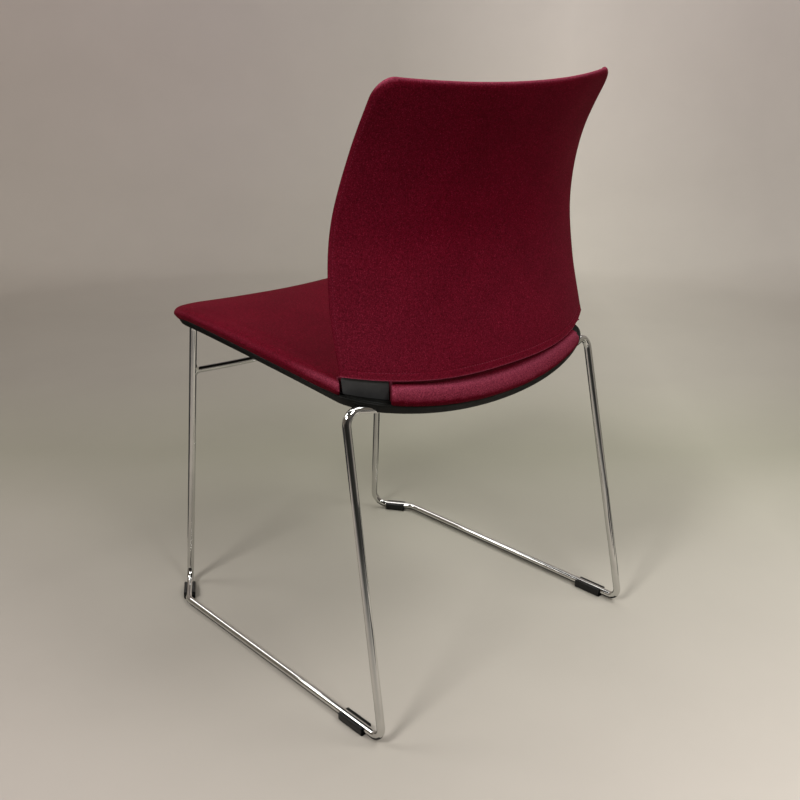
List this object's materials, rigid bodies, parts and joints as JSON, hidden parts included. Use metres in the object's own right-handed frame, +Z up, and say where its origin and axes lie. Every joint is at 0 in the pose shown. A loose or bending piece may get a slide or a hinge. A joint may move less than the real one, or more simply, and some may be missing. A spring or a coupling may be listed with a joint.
{
  "type": "sled base visitor chair",
  "caption": "Visitor chair with a sled base of bent chromed rod, a dished plastic seat shell with an upholstered pad and a curved upholstered back.",
  "frame": {"origin": "on the floor, in the middle plane, under the middle of the base's front to rear extent", "axes": "+Z up, the sitter faces -Y, +X towards the sitter's left"},
  "size_m": [0.5222, 0.5297, 0.8125],
  "materials": {
    "chrome_rod": "bright chrome plating on bent round steel rod",
    "tab_steel": "plain zinc plated sheet steel, dull",
    "screw_steel": "zinc plated socket screws",
    "glide_plastic": "black moulded polyamide, fine matt grain",
    "shell_plastic": "black moulded polypropylene with a fine spark texture and a soft sheen",
    "seat_plywood": "bare moulded plywood, hidden inside the seat",
    "cushion_foam": "cut polyurethane foam, hidden by the covers",
    "maroon_felt": "fulled wool felt cloth, maroon melange with a short nap"
  },
  "bodies": {
    "root": {"side_rod_left": "chrome_rod", "side_rod_right": "chrome_rod", "front_cross_bar": "chrome_rod", "cross_bar_weld_left": "chrome_rod", "cross_bar_weld_right": "chrome_rod", "rail_weld_left": "chrome_rod", "rail_weld_right": "chrome_rod", "glide_front_left": "glide_plastic", "glide_front_right": "glide_plastic", "glide_rear_left": "glide_plastic", "glide_rear_right": "glide_plastic", "mount_tab_front_left": "tab_steel", "mount_tab_front_right": "tab_steel", "mount_tab_rear_left": "tab_steel", "mount_tab_rear_right": "tab_steel", "mount_screw_front_left": "screw_steel", "mount_screw_front_right": "screw_steel", "mount_screw_rear_left": "screw_steel", "mount_screw_rear_right": "screw_steel", "seat_shell": "shell_plastic", "seat_board": "seat_plywood", "seat_foam": "cushion_foam", "seat_cover": "maroon_felt", "back_shell": "shell_plastic", "back_foam": "cushion_foam", "back_cover": "maroon_felt"}
  },
  "joints": []
}
